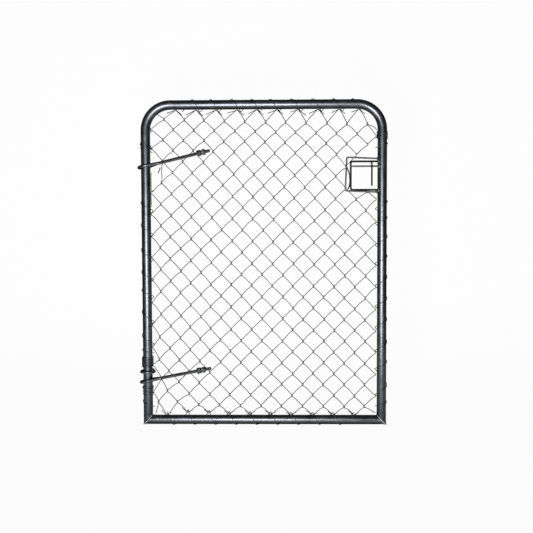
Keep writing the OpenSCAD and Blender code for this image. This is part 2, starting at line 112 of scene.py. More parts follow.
class Shape:
    """Swept bars gathered in one mesh. Each point keeps its place round and along its own bar."""

    def __init__(self):
        self.points, self.faces, self.along, self.wraps = [], [], [], []

    def rings(self, rings, alongs, closed=False):
        """Joins rings of points into a skin, which is capped at both ends unless it closes on itself."""
        first, sides = len(self.points), len(rings[0])
        for ring, along in zip(rings, alongs):
            self.points += ring
            self.along += along
        last = len(rings) if closed else len(rings) - 1
        for k in range(last):
            a, b = first + k * sides, first + (k + 1) % len(rings) * sides
            for s in range(sides):
                t = (s + 1) % sides
                self.faces.append((a + s, a + t, b + t, b + s))
                low, high = 10.0 * k, 10.0 * (k + 1)
                self.wraps += [(s, low), (s + 1, low), (s + 1, high), (s, high)]
        if not closed:
            end = first + (len(rings) - 1) * sides
            for start, turns in ((first, reversed(range(sides))), (end, range(sides))):
                turns = list(turns)
                self.faces.append(tuple(start + s for s in turns))
                for s in turns:
                    turn = 2 * math.pi * s / sides
                    self.wraps.append((math.cos(turn), math.sin(turn)))

    def tube(self, path, radius, sides=12, closed=False, start=0.0, squash=None):
        """Sweeps a bar along a path. radius is a number or a function of the run and the angle."""
        count = len(path)
        tangents = []
        for k in range(count):
            a = path[k - 1] if k or closed else path[k]
            b = path[(k + 1) % count] if k < count - 1 or closed else path[k]
            tangents.append((b - a).normalized())
        guide = Y if abs(tangents[0].y) < 0.9 else X
        normal = (guide - tangents[0] * guide.dot(tangents[0])).normalized()
        rings, alongs, run = [], [], start
        for k, (point, tangent) in enumerate(zip(path, tangents)):
            if k:
                normal = tangents[k - 1].rotation_difference(tangent) @ normal
                run += (point - path[k - 1]).length
            side = tangent.cross(normal)
            ring, along = [], []
            for s in range(sides):
                turn = 2 * math.pi * s / sides
                r = radius(run - start, turn) if callable(radius) else radius
                out = normal * math.cos(turn) + side * math.sin(turn)
                ring.append(point + out * r)
                along.append((r * math.cos(turn), r * math.sin(turn), run))
            rings.append(ring)
            alongs.append(along)
        if squash:
            squash(rings)
        self.rings(rings, alongs, closed)

    def blob(self, centre, axes, seed, rough=0.25, grain=1.2, steps=12):
        """A lump of weld: a rounded body with its skin pushed in and out by noise."""
        rings, alongs = [], []
        for k in range(1, steps):
            lat = math.pi * k / steps - math.pi / 2
            ring, along = [], []
            for s in range(2 * steps):
                lon = math.pi * s / steps
                out = Vector((math.cos(lat) * math.cos(lon), math.cos(lat) * math.sin(lon), math.sin(lat)))
                swell = 1 + rough * noise.noise(out * grain + Vector((seed, 2.3 * seed, 0)))
                p = centre + axes @ out * swell
                ring.append(p)
                along.append(tuple(p))
            rings.append(ring)
            alongs.append(along)
        self.rings(rings, alongs)

    def build(self, name, material, slot, body, *nodes, sharp=38):
        """Makes the piece, which rides on a body and stands in for the nodes of the CAD. Edges that turn
        by more than sharp degrees stay sharp."""
        mesh = bpy.data.meshes.new(name)
        mesh.from_pydata([ORIGIN + p * MM for p in self.points], [], self.faces)
        place = mesh.attributes.new("along", "FLOAT_VECTOR", "POINT")
        place.data.foreach_set("vector", [c * MM for p in self.along for c in p])
        mesh.uv_layers.new(name="round_the_bar").data.foreach_set("uv", [c for p in self.wraps for c in p])
        mesh.shade_smooth()
        mesh.set_sharp_from_angle(angle=math.radians(sharp))
        mesh.materials.append(material)
        piece = bpy.data.objects.new(name, mesh)
        bpy.context.scene.collection.objects.link(piece)
        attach(piece, body)
        if nodes:
            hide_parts(*nodes)
        return piece


def line(a, b, step):
    """A straight run from a to b in steps of about that length."""
    count = max(1, math.ceil((b - a).length / step))
    return [a.lerp(b, k / count) for k in range(count + 1)]


def arc(centre, u, v, radius, start, end, step=math.radians(6)):
    """A round run in the plane of u and v, from the angle start to the angle end."""
    count = max(2, math.ceil(abs(end - start) / step))
    return [centre + (u * math.cos(t) + v * math.sin(t)) * radius
            for t in (start + (end - start) * k / count for k in range(count + 1))]


def join(*runs):
    """Runs set end to end, without doubled points."""
    path = []
    for run in runs:
        for p in run:
            if not path or (p - path[-1]).length > 0.05:
                path.append(p)
    return path


def smooth(points, steps=4):
    """A curve through the points."""
    ends = [points[0] * 2 - points[1], *points, points[-1] * 2 - points[-2]]
    path = []
    for a, b, c, d in zip(ends, ends[1:], ends[2:], ends[3:]):
        for k in range(steps):
            t = k / steps
            path.append(0.5 * (2 * b + (c - a) * t + (2 * a - 5 * b + 4 * c - d) * t * t
                               + (3 * b - a - 3 * c + d) * t ** 3))
    return path + [points[-1]]


def wobble(place, size, seed):
    """A smooth unevenness of that size along a bar, in millimetres."""
    return size * noise.noise(Vector((place, seed * 7.1, seed * 3.7)))


# ---------- materials ----------

class Finish:
    """A material made of nodes, with small calls to add and wire them."""

    def __init__(self, name):
        self.material = bpy.data.materials.new(name)
        self.material.use_nodes = True
        self.tree = self.material.node_tree
        self.shader = self.tree.nodes["Principled BSDF"]
        self.spot = self.add("ShaderNodeAttribute")
        self.spot.attribute_name = "along"
        coordinates = self.add("ShaderNodeTexCoord")
        self.place, self.facing = coordinates.outputs["Object"], coordinates.outputs["Normal"]

    def add(self, kind, **inputs):
        node = self.tree.nodes.new(kind)
        for key, value in inputs.items():
            self.put(node, key.replace("_", " "), value)
        return node

    def put(self, node, key, value):
        socket = node.inputs[key]
        if hasattr(value, "is_output"):
            self.tree.links.new(value, socket)
        else:
            socket.default_value = value

    def stretch(self, scale):
        """The place round and along the bar, scaled."""
        node = self.add("ShaderNodeMapping", Scale=scale)
        self.tree.links.new(self.spot.outputs["Vector"], node.inputs["Vector"])
        return node.outputs["Vector"]

    def noise(self, scale, vector=None, detail=4.0, roughness=0.55, distortion=0.0):
        node = self.add("ShaderNodeTexNoise", Vector=vector or self.place, Scale=scale, Detail=detail,
                        Roughness=roughness, Distortion=distortion)
        return node.outputs["Fac"]

    def cells(self, scale):
        node = self.add("ShaderNodeTexVoronoi", Vector=self.place, Scale=scale)
        return node.outputs["Color"]

    def spread(self, value, low, high, out_low=0.0, out_high=1.0):
        """A value between low and high, mapped to the range from out_low to out_high."""
        node = self.add("ShaderNodeMapRange", Value=value)
        node.inputs["From Min"].default_value = low
        node.inputs["From Max"].default_value = high
        node.inputs["To Min"].default_value = out_low
        node.inputs["To Max"].default_value = out_high
        return node.outputs["Result"]

    def maths(self, operation, a, b):
        node = self.add("ShaderNodeMath")
        node.operation = operation
        self.put(node, 0, a)
        self.put(node, 1, b)
        return node.outputs[0]

    def blend(self, fac, a, b):
        node = self.add("ShaderNodeMix")
        node.data_type = "RGBA"
        for socket, value in ((0, fac), (6, a), (7, b)):
            self.put(node, socket, value)
        return node.outputs[2]

    def height(self, vector):
        node = self.add("ShaderNodeSeparateXYZ", Vector=vector)
        return node.outputs["Z"]

    def bump(self, height, distance, strength=1.0, under=None):
        node = self.add("ShaderNodeBump", Height=height, Distance=distance, Strength=strength)
        if under:
            self.tree.links.new(under, node.inputs["Normal"])
        return node.outputs["Normal"]

    def drawn_out(self, amount, edge):
        """Spreads the shine round the bar, as on drawn or rolled steel, and dulls it at the rim."""
        tangent = self.tree.nodes.new("ShaderNodeTangent")
        tangent.direction_type = "UV_MAP"
        tangent.uv_map = "round_the_bar"
        self.tree.links.new(tangent.outputs[0], self.shader.inputs["Tangent"])
        self.shader.inputs["Anisotropic"].default_value = amount
        self.shader.inputs["Specular Tint"].default_value = (edge, edge, edge, 1)

    def done(self, colour, roughness, normal):
        self.shader.inputs["Metallic"].default_value = 1.0
        self.tree.links.new(colour, self.shader.inputs["Base Color"])
        self.tree.links.new(roughness, self.shader.inputs["Roughness"])
        self.tree.links.new(normal, self.shader.inputs["Normal"])
        return self.material


FOOT_SHADE_H = 0.29   # how high the painted shade at the foot reaches, in metres


def steel(name, dark, light, rough, draw=0.5, pits=0.5, bump=0.00012, dust=0.25,
          spread=0.0, edge=1.0, under=0.0, foot_shade=0.0):
    """Weathered zinc-coated steel: cloudy zinc, lines drawn along the bar, dull pits and pale dust. Painted
    shade darkens its underside, and patches of painted shade darken it round its foot.

    dark and light are the zinc's two tones and rough its roughness. draw, pits and dust say how much there is
    of each, the last two arguments how much painted shade darkens the underside and the foot, bump how deep
    the grain is, spread how far the shine is drawn round the bar, and edge how bright the rim stays."""
    f = Finish(name)
    f.drawn_out(spread, edge)
    cloud = f.noise(26.0, detail=6.0, roughness=0.62, distortion=0.4)
    drawn = f.noise(1.0, f.stretch((900.0, 900.0, 16.0)), detail=5.0, roughness=0.6)
    spangle = f.add("ShaderNodeSeparateColor", Color=f.cells(150.0)).outputs[0]
    pit = f.spread(f.noise(420.0, detail=3.0), 0.58, 0.74)
    tone = f.maths("ADD", f.spread(cloud, 0.3, 0.7, 0.0, 0.55), f.spread(drawn, 0.3, 0.7, 0.0, 0.45 * draw))
    tone = f.maths("ADD", tone, f.maths("MULTIPLY", spangle, 0.22))
    colour = f.blend(tone, (*dark, 1), (*light, 1))
    colour = f.blend(f.maths("MULTIPLY", pit, pits), colour, (*(0.45 * c for c in dark), 1))
    dusty = f.spread(f.noise(95.0, detail=8.0, roughness=0.75), 0.56, 0.72, 0.0, dust)
    colour = f.blend(dusty, colour, (*(min(1.0, 1.9 * c + 0.02) for c in light), 1))
    # painted shade: the zinc is darkened where it faces down, as if its underside were in shade
    if under:
        painted_underside_shade = f.spread(f.height(f.facing), -0.2, -0.7, 0.0, under)
        colour = f.blend(painted_underside_shade, colour, (*(0.2 * c for c in dark), 1))
    # painted shade: the zinc is darkened in noisy patches towards the foot, where the shine fades
    if foot_shade:
        painted_foot_shade = f.spread(f.height(f.place), ORIGIN.z, ORIGIN.z + FOOT_SHADE_H, foot_shade, 0.0)
        painted_foot_shade = f.maths("MULTIPLY", painted_foot_shade, f.spread(f.noise(38.0, detail=7.0), 0.3, 0.6, 0.65, 1.0))
        colour = f.blend(painted_foot_shade, colour, (*(0.4 * c for c in dark), 1))
    matt = f.maths("ADD", f.spread(cloud, 0.25, 0.75, rough - 0.07, rough + 0.07),
                   f.spread(drawn, 0.2, 0.8, -0.06, 0.06))
    matt = f.maths("ADD", matt, f.maths("MULTIPLY", f.maths("ADD", pit, dusty), 0.12))
    normal = f.bump(drawn, 0.00006, draw)
    normal = f.bump(f.noise(1100.0, detail=3.0), bump, 0.6, normal)
    normal = f.bump(f.noise(70.0, detail=2.0), 0.0004, 0.25, normal)
    return f.done(colour, matt, normal)


# the hoop's zinc, with painted shade under it and towards its foot
pipe_finish = steel("galvanised_pipe", (0.053, 0.0565, 0.0625), (0.145, 0.154, 0.169), 0.33,
                    bump=0.00005, spread=0.5, edge=0.0, under=0.6, foot_shade=0.8)
# a darker, shaded copy of the pipe's zinc for the bottom rail: painted shade, with more painted shade under
# it
shaded_rail_finish = steel("galvanised_pipe_shaded_below", (0.0405, 0.043, 0.0475), (0.116, 0.1235, 0.1355), 0.31,
                    bump=0.00002, spread=0.55, edge=0.0, under=0.9)
weld_finish = steel("zinc_painted_weld", (0.06, 0.061, 0.064), (0.62, 0.625, 0.635), 0.45,
                    draw=0.0, pits=0.8, bump=0.0003, dust=0.4)
mesh_finish = steel("galvanised_mesh_wire", (0.009, 0.0092, 0.0098), (0.05, 0.051, 0.053), 0.36,
                    draw=0.4, pits=0.6, bump=0.00003, spread=0.9, edge=0.05)
lace_finish = steel("galvanised_lacing_wire", (0.045, 0.046, 0.049), (0.19, 0.194, 0.202), 0.38,
                    draw=0.7, spread=0.6, edge=0.1)
rod_finish = steel("galvanised_rod", (0.038, 0.039, 0.041), (0.2, 0.204, 0.211), 0.35,
                   spread=0.5, edge=0.0)
bolt_finish = steel("dark_plated_fastener", (0.028, 0.0285, 0.03), (0.36, 0.365, 0.375), 0.3,
                    draw=0.0, pits=0.9, edge=0.0)
black_finish = steel("blackened_rod", (0.006, 0.006, 0.0065), (0.03, 0.0305, 0.0325), 0.4,
                     spread=0.6, edge=0.1)


# ---------- frame ----------

def pipe_radius(seed):
    """The slightly uneven radius of a pipe, as a function of the run and the angle."""
    return lambda run, turn: PIPE_R - PIPE_SKIN + wobble(run / 45 + 2 * math.cos(turn), PIPE_SKIN, seed)


def bent_hoop():
    """Both stiles and the top rail, bent from one pipe, with its two feet cut to the mitre."""
    left, right = Vector((BEND_R, 0, HEAD - BEND_R)), Vector((SPAN - BEND_R, 0, HEAD - BEND_R))
    step = math.radians(2.5)
    path = join(
        line(Vector((0, 0, PIPE_R)), Vector((0, 0, left.z)), 30),
        arc(left, X, Z, BEND_R, math.pi, math.pi / 2, step),
        line(left + Z * BEND_R, right + Z * BEND_R, 30),
        arc(right, X, Z, BEND_R, math.pi / 2, 0, step),
        line(Vector((SPAN, 0, right.z)), Vector((SPAN, 0, PIPE_R)), 30))

    def mitre(rings):
        for ring, sign, x in ((rings[0], 1, 0), (rings[-1], -1, SPAN)):
            for p in ring:
                p.z = PIPE_R + sign * (p.x - x)

    shape = Shape()
    shape.tube(path, pipe_radius(3), 56, squash=mitre)
    shape.build("bent_pipe_hoop", pipe_finish, "pipe", "leaf", "frame_hoop", sharp=50)


def foot_rail():
    """The bottom rail, cut to the mitre at both ends."""
    def mitre(rings):
        for ring, sign, x in ((rings[0], 1, 0), (rings[-1], -1, SPAN)):
            for p in ring:
                p.x = x + sign * (p.z - PIPE_R)

    shape = Shape()
    shape.tube(line(Vector((0, 0, PIPE_R)), Vector((SPAN, 0, PIPE_R)), 30), pipe_radius(5), 56,
               start=4000, squash=mitre)
    shape.build("mitred_foot_rail", shaded_rail_finish, "pipe", "leaf", "bottom_rail", sharp=50)


def corner_bead(name, node, x, sign, seed):
    """A hand-laid bead round the mitre: overlapping ripples that wander and swell, with spatter beside it."""
    steps, ripples = 150, 46
    path, swell = [], []
    for k in range(steps):
        t = 2 * math.pi * k / steps
        out = Vector((sign * math.cos(t), math.sin(t), 0))
        drift = wobble(t * 2.2, 2.2, seed)
        path.append(Vector((x, 0, PIPE_R)) + out * (PIPE_R - 1.3) + Z * (math.cos(t) * PIPE_R + drift))
        swell.append(2.5 + 0.35 * math.sin(ripples * t) + wobble(t * 5, 0.9, seed + 1))
    lengths = [0.0]
    for a, b in zip(path, path[1:]):
        lengths.append(lengths[-1] + (b - a).length)

    def radius(run, turn):
        k = min(range(steps), key=lambda n: abs(lengths[n] - run)) if run < lengths[-1] else steps - 1
        return swell[k]

    shape = Shape()
    shape.tube(path, radius, 10, closed=True)
    rng = random.Random(seed)
    for _ in range(26):
        t = rng.uniform(0, 2 * math.pi)
        away = 1.4 * abs(rng.choice((-1, 1)) * rng.uniform(3.2, 9))
        size = rng.uniform(0.5, 1.9)
        lift = PIPE_R * math.cos(t)
        if rng.random() < 0.5:   # on the stile
            p = Vector((x + sign * lift, PIPE_R * math.sin(t), PIPE_R + lift + away))
        else:                    # on the rail
            p = Vector((x + sign * (lift + away), PIPE_R * math.sin(t), PIPE_R + lift))
        shape.blob(p, Matrix.Diagonal((size, size, size)), rng.random() * 9, 0.3, 2.0, 5)
    shape.build(name, weld_finish, "weld", "leaf", node, sharp=60)


bent_hoop()
foot_rail()
corner_bead("hinge_corner_bead", "hinge_corner_weld", 0, 1, 2.0)
corner_bead("latch_corner_bead", "latch_corner_weld", SPAN, -1, 5.0)


# ---------- mesh ----------

PULLED = (6, 24)      # rows whose outermost knot the eyes keep off the stile
SHIFTED = {           # knots that have been pulled out of line: column and row, then x and z
    (0, 4): (23.8, 1021.0), (0, 24): (21.0, 222.0), (1, 25): (51.5, 171.0), (2, 26): (71.8, 125.0),
    (1, 27): (38.5, 84.0), (3, 27): (108.7, 83.8), (22, 0): (843.0, 1089.0), (22, 2): (843.0, 1060.0),
    (19, 5): (732.0, 950.0), (21, 5): (812.0, 949.0), (19, 7): (732.5, 871.0), (21, 7): (814.0, 860.0),
}
SAGGED = {1: 10.0, 2: 6.0, 3: 2.0}   # how far the first rows hang low under the top rail
SLID = {0: 5.0}                      # how far the selvage has slid towards the latch
RAISED = {2: 1.0, 4: 10.0, 6: 7.5, 8: 4.0, 10: 3.0, 12: 2.0}   # how high the wire holds it over the rail
UNEVEN = 1.5                         # how far any knot strays from its place
SELVAGE = EDGE - 2.8                 # the outermost knots at the hinge stile
NEAREST = 34                         # how near the other knots come to the stile


def hump(*offsets):
    """A smooth rise to one where all the offsets are nought."""
    return math.exp(-sum(offset ** 2 for offset in offsets))


def set_out_knots():
    """The place of each knot of the mesh: an even lattice that has crept, drooped, stretched and strayed."""
    jitter = random.Random(11)
    knots = {}
    for row in range(ROWS + 1):
        for col in range(COLS + 1):
            u, v = max(col, 1 if row in PULLED else 0) / COLS, row / ROWS
            x = EDGE + u * COLS * HALF_W + CREEP * (1 - v) - LEAN * v * (1 - u)
            z = HEIGHT / 2 + (ROWS / 2 - row) * HALF_H + DROOP * (1 - v / 2) * (0.5 - col / COLS)
            x += jitter.uniform(-UNEVEN, UNEVEN) + SLID.get(row, 0)
            z += jitter.uniform(-UNEVEN, UNEVEN) - SAGGED.get(row, 0)
            hinge_side = max(0.0, 1 - col / 6)
            x += 7 * hinge_side * hump((row - 19) / 4.5) - 3.9 * hump((row - 10.5) / 8.5)
            z += 12 * hinge_side * hump((row - 15) / 8) + 0.5 - 3.2 * hump((row - 24) / 7, (col - 10) / 6)
            z += 2.4 * hump((row - 12.5) / 5.5, (col - 3) / 3.5)
            x = SELVAGE if u == 0 else min(max(x, NEAREST), SPAN - EDGE)
            if row in PULLED and col <= 1:
                x = max(x, EYE_SIDE)
            if row == ROWS:
                z = max(z + RAISED.get(col, 0), PIPE_R + EDGE + RAISED.get(col, 0))
            else:
                z = min(z, HEAD - EDGE)
            knots[col, row] = Vector(SHIFTED.get((col, row), (x, z)))
    return knots


KNOTS = set_out_knots()


def turn_col(wire, row):
    """The column in which a wire turns at a row."""
    return wire + (wire + row) % 2


def woven(shape, wire, first, last, seed):
    """One wire of the mesh: its strands lie in front going down to the right and behind going down to
    the left, and at each knot it hooks through its neighbour."""
    rng = random.Random(seed)
    deep, reach, drawn_in = WIRE_DEEP, WIRE_R + 0.4, 6.5
    approach, hook, crown = 8.5, 4.2, 1.6    # how far from a knot a strand leaves its line, bends and turns
    turns = []
    for row in range(first, last + 1):
        col = turn_col(wire, row)
        knot = KNOTS[col, row]
        side = 1 if col > wire else -1
        out = -drawn_in if row in (0, ROWS) and col < COLS else reach
        low = 3.0 if row == ROWS and side < 0 else 0
        turns.append((Vector((knot.x + side * out, 0, knot.y - low)), side, row))
    knuckled = 0 < wire < COLS - 1
    points = []
    for n, (t, side, row) in enumerate(turns):
        before = turns[n - 1][0] if n else None
        after = turns[n + 1][0] if n < len(turns) - 1 else None
        if before is not None:
            along = (before - t).normalized()
            bow = Vector((rng.uniform(-0.7, 0.7), -side * deep, rng.uniform(0.7, 2.3)))
            points.append(before.lerp(t, 0.5) + bow)
            points.append(t + along * approach - Y * side * deep)
            points.append(t + Vector((-side, -side * deep * 0.9, hook)))
            points.append(t + Vector((0, -side * deep * 0.45, crown)))
        if after is not None:
            along = (after - t).normalized()
            points.append(t + Vector((0, side * deep * 0.45, -crown)))
            points.append(t + Vector((-side, side * deep * 0.9, -hook)))
            points.append(t + along * approach + Y * side * deep)
        if before is None and row == 0 and knuckled:
            points = knuckle(t, side, 1, rng)[::-1] + points[2:]
        if after is None and row == ROWS and knuckled:
            points = points[:-2] + knuckle(t, side, -1, rng)
    shape.tube(smooth(points, 2), lambda run, turn: WIRE_R * (0.985 + wobble(run / 45, 0.14, seed)), 8,
               start=1000 * wire)


def knuckle(t, side, up, rng):
    """The end of a wire: over its neighbour's end and back down beside it. One of the two ends lies
    close to the neighbour, and the other stands off nearly level."""
    level = side * up < 0
    slope = rng.uniform(0.25, 0.5) if level else rng.uniform(0.8, 1.0)
    tail = rng.uniform(16, 30) if level else rng.uniform(12, 22)
    if up < 0:
        tail *= 0.35 if level else 0.8
    y = -side * 2.2 * up
    lift = 2.5 if level else 1.5
    return [
        t + Vector((side * 2.5, y * 0.3, 2.2 * up)),
        t + Vector((side * 6.0, y * 0.6, 4.4 * up)),
        t + Vector((side * 10.0, y * 0.9, 4.2 * up)),
        t + Vector((side * 14.0, y, (lift - 0.5) * up)),
        t + Vector((side * (14.5 + tail * 0.5), y, (lift - 1 - slope * tail * 0.5) * up)),
        t + Vector((side * (15 + tail), y * 0.8, (lift - 1 - slope * tail) * up)),
    ]


LATCH_WIRE = 19                            # first wire of the panel beside the latch stile
LAST_ABOVE_HOLE = {19: 5, 20: 4, 21: 3}    # row where each of its wires is cut off above the hand hole
FIRST_BELOW_HOLE = 7                       # row where they go on below it

mesh_panel, latch_panel = Shape(), Shape()
for wire in range(COLS):
    if wire < LATCH_WIRE:
        woven(mesh_panel, wire, 0, ROWS, 100 + wire)
    else:
        woven(latch_panel, wire, 0, LAST_ABOVE_HOLE[wire], 100 + wire)
        woven(latch_panel, wire, FIRST_BELOW_HOLE, ROWS, 200 + wire)

# a stub of dark wire under the upper rod
stub = [Vector(p) for p in ((53, 0, 951), (51.5, 1, 944), (48, 0, 937), (44.5, -1, 930))]
mesh_panel.tube(smooth(stub, 3), WIRE_R * 1.35, 8)

# two cut strands that hang beside the hand hole, apart by a share of the distance aside
hanging = [(734, 951, 1), (743, 928, 1.2), (746.5, 903, 0.6), (744, 880, 0.9), (735, 860, 0.3)]
for aside in (0.0, 2.6):
    strand = [Vector((x + aside * share, 0.5, z)) for x, z, share in hanging]
    latch_panel.tube(smooth(strand, 3), WIRE_R * 0.85, 8)

mesh_panel.build("woven_mesh", mesh_finish, "mesh_wire", "leaf", "chain_link_mesh", sharp=180)
latch_panel.build("woven_mesh_latch_side", mesh_finish, "mesh_wire", "leaf", "latch_side_mesh", sharp=180)


# ---------- lacing ----------

HINGE, LATCH = Vector((0, 0, 0)), Vector((SPAN, 0, 0))
THIN_PATH_R = PIPE_R + SEAT + THIN_R + 0.2   # how far from the pipe's axis the single wire runs


def lacing(shape, base, run_dir, inner, first_dir, places, seed, lag=0.05, over=None):
    """Wire wound round a pipe that passes through the mesh at each stop, given as places along the pipe.
    It crosses the front steeply and does most of its travelling along the back. over says how far it
    stands off the pipe at a stop, to pass over the mesh."""
    rng = random.Random(seed)
    slack = rng.uniform(0, 9)
    per_turn, short = 24, 0.07   # points in a turn, and the share of it in which the wire rises at a stop
    lag *= 1 if first_dir.y < 0 else -1
    tall = [over(place) if over else 6.0 for place in places]
    points = []
    for n, (a, b) in enumerate(zip(places, places[1:])):
        for k in range(per_turn):
            t = k / per_turn
            turn = 2 * math.pi * t
            r = THIN_PATH_R + wobble((a + (b - a) * t) / 21 + slack, 0.4, seed)
            r += (tall[n] if t < 0.5 else tall[n + 1]) * hump(min(t, 1 - t) / short)
            ease = t + lag * (math.cos(turn) - 1)
            points.append(base + run_dir * (a + (b - a) * ease)
                          + (inner * math.cos(turn) + first_dir * math.sin(turn)) * r)
    points.append(base + run_dir * places[-1] + inner * (PIPE_R + SEAT + LACE_R + 5.5))
    shape.tube(points, THIN_R, 10)


def wind(shape, base, run_dir, inner, first_dir, start, length, turns, wire_r, seed, path_r=None,
         phase=0.0, per_turn=22, uneven=0.35):
    """A close wrap of wire round a pipe."""
    points = []
    count = int(turns * per_turn)
    for k in range(count + 1):
        t = k / count
        turn = 2 * math.pi * turns * t + phase
        r = (path_r or PIPE_R + SEAT + wire_r) + uneven * 0.5 + wobble(t * turns * 1.7, uneven, seed)
        along = start + length * t + wobble(t * turns * 2.3, 0.8 * wire_r, seed + 1)
        points.append(base + run_dir * along + (inner * math.cos(turn) + first_dir * math.sin(turn)) * r)
    shape.tube(points, wire_r, 8)


def down(base, inner, heights, shape, seed):
    """Lacing that goes down a stile, given the heights of its stops."""
    lacing(shape, base, -Z, inner, Y, [-h for h in heights], seed)


def over_the_rail(x):
    """How far the wire stands off the bottom rail to pass over the mesh beside it."""
    knot = min((KNOTS[col, ROWS] for col in range(0, COLS + 1, 2)), key=lambda k: abs(k.x - x))
    return knot.y - 2 * PIPE_R + 1.5


top = Shape()
lacing(top, Vector((0, 0, HEAD)), X, -Z, Y, [134, 201, 269, 351, 419, 487, 569, 644, 719, 786], 1, 0.03)
top.build("top_rail_lacing", lace_finish, "lacing_wire", "leaf", "top_lacing", sharp=180)

foot = Shape()
foot_stops = [KNOTS[col, ROWS].x for col in range(2, COLS - 1, 2)]
lacing(foot, Vector((0, 0, PIPE_R)), X, Z, -Y, foot_stops, 2, 0.07, over_the_rail)
foot.build("foot_rail_lacing", lace_finish, "lacing_wire", "leaf", "bottom_lacing", sharp=180)

hinge = Shape()
down(HINGE, X, [KNOTS[0, 2].y, KNOTS[0, 4].y - 18], hinge, 3)
wind(hinge, HINGE, -Z, -X, -Y, -1034, 15, 1.35, LACE_R, 31)
hinge.blob(Vector((PIPE_R + 4.5, -4, 1019)), Matrix.Diagonal((4.2, 3.2, 4.6)), 4.0, 0.4, 1.6, 8)
down(HINGE, X, [867, 793, 706, 614, 539, 477, 384, 300, 266], hinge, 4)
hugging = [(932, 2), (905, 0.5), (870, 1.2), (838, 0), (806, 2.5)]   # a loose strand: height, distance off
hinge.tube(smooth([Vector((PIPE_R + 2 + off, -4 - off, z)) for z, off in hugging], 3), THIN_R, 8)
down(HINGE, X, [KNOTS[0, 26].y, 66], hinge, 5)
hinge.build("hinge_stile_wire", lace_finish, "lacing_wire", "leaf", "hinge_stile_lacing", sharp=180)

latch = Shape()
down(LATCH, -X, [KNOTS[22, 2].y, 1018], latch, 6)
wind(latch, LATCH, -Z, -X, Y, -1079, 27, 5.5, LACE_R, 6.5)
down(LATCH, -X, [865, 797, 745, 665, 598, 515, 440, 362, 275, 208, 110, 68], latch, 7)
latch.build("latch_stile_wire", lace_finish, "lacing_wire", "leaf", "latch_stile_lacing", sharp=180)

wrap = Shape()
for strand in range(2):
    wind(wrap, HINGE, -Z, X, Y, -(WRAP_HEAD - 2.2 - 2.2 * strand), WRAP_HEAD - WRAP_FOOT - 6, 6.5, WRAP_R,
         8 + strand, path_r=PIPE_R + SEAT + WRAP_R + 0.1, phase=2.4 * strand, uneven=0.5)
wrap.build("doubled_stile_wrap", lace_finish, "lacing_wire", "leaf", "stile_wrap", sharp=180)

low_wrap = Shape()
wind(low_wrap, HINGE, -Z, X, Y, -144, 12, 2.5, LACE_R, 10)
wind(low_wrap, HINGE, -Z, X, Y, -129, 20, 2.2, LACE_R * 0.8, 11)
low_wrap.build("foot_stile_wrap", lace_finish, "lacing_wire", "leaf", "foot_wrap", sharp=180)


# ---------- stop ring ----------

ring = Shape()
stop_path_r = PIPE_R + SEAT + STOP_R
ring.tube(arc(Vector((0, 0, STOP_Z)), X, Y, stop_path_r, 0, 2 * math.pi, math.radians(5))[:-1],
          lambda run, turn: STOP_R - 0.1 + wobble(run / 9 + 2 * turn, 0.1, 4), 24, closed=True)
tail_turn = math.radians(-35)
tail_out = Vector((math.cos(tail_turn), math.sin(tail_turn), 0))
tail_across = Vector((-math.sin(tail_turn), math.cos(tail_turn), 0))
eyelet = tail_out * (stop_path_r + STOP_R / 2) + Z * (STOP_Z + STOP_R + 2.5)
ring.tube(arc(eyelet, tail_across, Z, 5.0, math.radians(-80), math.radians(262), math.radians(12)), 1.7, 10)
ring.build("stop_ring_with_eyelet", rod_finish, "rod", "leaf", "stop_ring", sharp=60)


# ---------- hand hole ----------

def rod_loop(leg, foot_z, head_z, corner, end, front, tilt=0.0):
    """A rod bent into three sides, open towards the latch stile: its foot, its leg and its head. corner is
    the radius of its bends, end where it meets the stile and front how far it stands before the leaf."""
    spin = Matrix.Rotation(tilt, 3, "Y")
    pivot = Vector((FACE, -front, foot_z))
    step = math.radians(9)
    path = join(
        line(Vector((end, -front, foot_z)), Vector((leg + corner, -front, foot_z)), 8),
        arc(Vector((leg + corner, -front, foot_z + corner)), X, Z, corner, -math.pi / 2, -math.pi, step),
        line(Vector((leg, -front, foot_z + corner)), Vector((leg, -front, head_z - corner)), 8),
        arc(Vector((leg + corner, -front, head_z - corner)), X, Z, corner, math.pi, math.pi / 2, step),
        line(Vector((leg + corner, -front, head_z)), Vector((end, -front, head_z)), 8))
    return [pivot + spin @ (point - pivot) for point in path]


hole = Shape()
hole.tube(rod_loop(FACE - HOLE_W, HOLE_Z, HOLE_Z + HOLE_H, 5.5, FACE - 1.0, 0, HOLE_TILT), HOLE_ROD_R, 16)
hole.build("mesh_edge_rod_frame", rod_finish, "rod", "leaf", "hand_hole_frame")

front_x = SPAN - math.sqrt(PIPE_R ** 2 - HOOP_FRONT ** 2)   # the stile's surface level with the hoop
hoop = Shape()
hoop.tube(rod_loop(HOOP_X, HOOP_FOOT, HOOP_HEAD, 2 * HOOP_ROD_R, front_x - 1.0, HOOP_FRONT), HOOP_ROD_R, 18)
hoop.build("lock_rod_hoop", black_finish, "rod", "leaf", "lock_hoop")

rail = Shape()
rail_start = Vector((HOOP_X + HOOP_ROD_R + 0.6, -HOOP_FRONT, RAIL_Z))
rail.tube(line(rail_start, Vector((front_x - 1.0, -HOOP_FRONT, RAIL_Z)), 8), BAR_R, 16)
rail.build("lock_cross_rail", rod_finish, "rod", "leaf", "lock_rail")

bar = Shape()
bar_y = -(HOOP_FRONT + HOOP_ROD_R + BAR_R + SEAT)
bend = 3 * BAR_R
bend_x, bend_z = BAR_X - bend, HOOP_HEAD - bend
bar.tube(join(
    line(Vector((BAR_X, bar_y, HOOP_FOOT + 14)), Vector((BAR_X, bar_y, bend_z)), 8),
    arc(Vector((bend_x, bar_y, bend_z)), X, Z, bend, 0, math.pi / 2, math.radians(9)),
    line(Vector((bend_x, bar_y, HOOP_HEAD)), Vector((bend_x - 2 * BAR_R, bar_y, HOOP_HEAD)), 4)), BAR_R, 16)
bar.build("curled_drop_bar", black_finish, "rod", "leaf", "drop_bar")

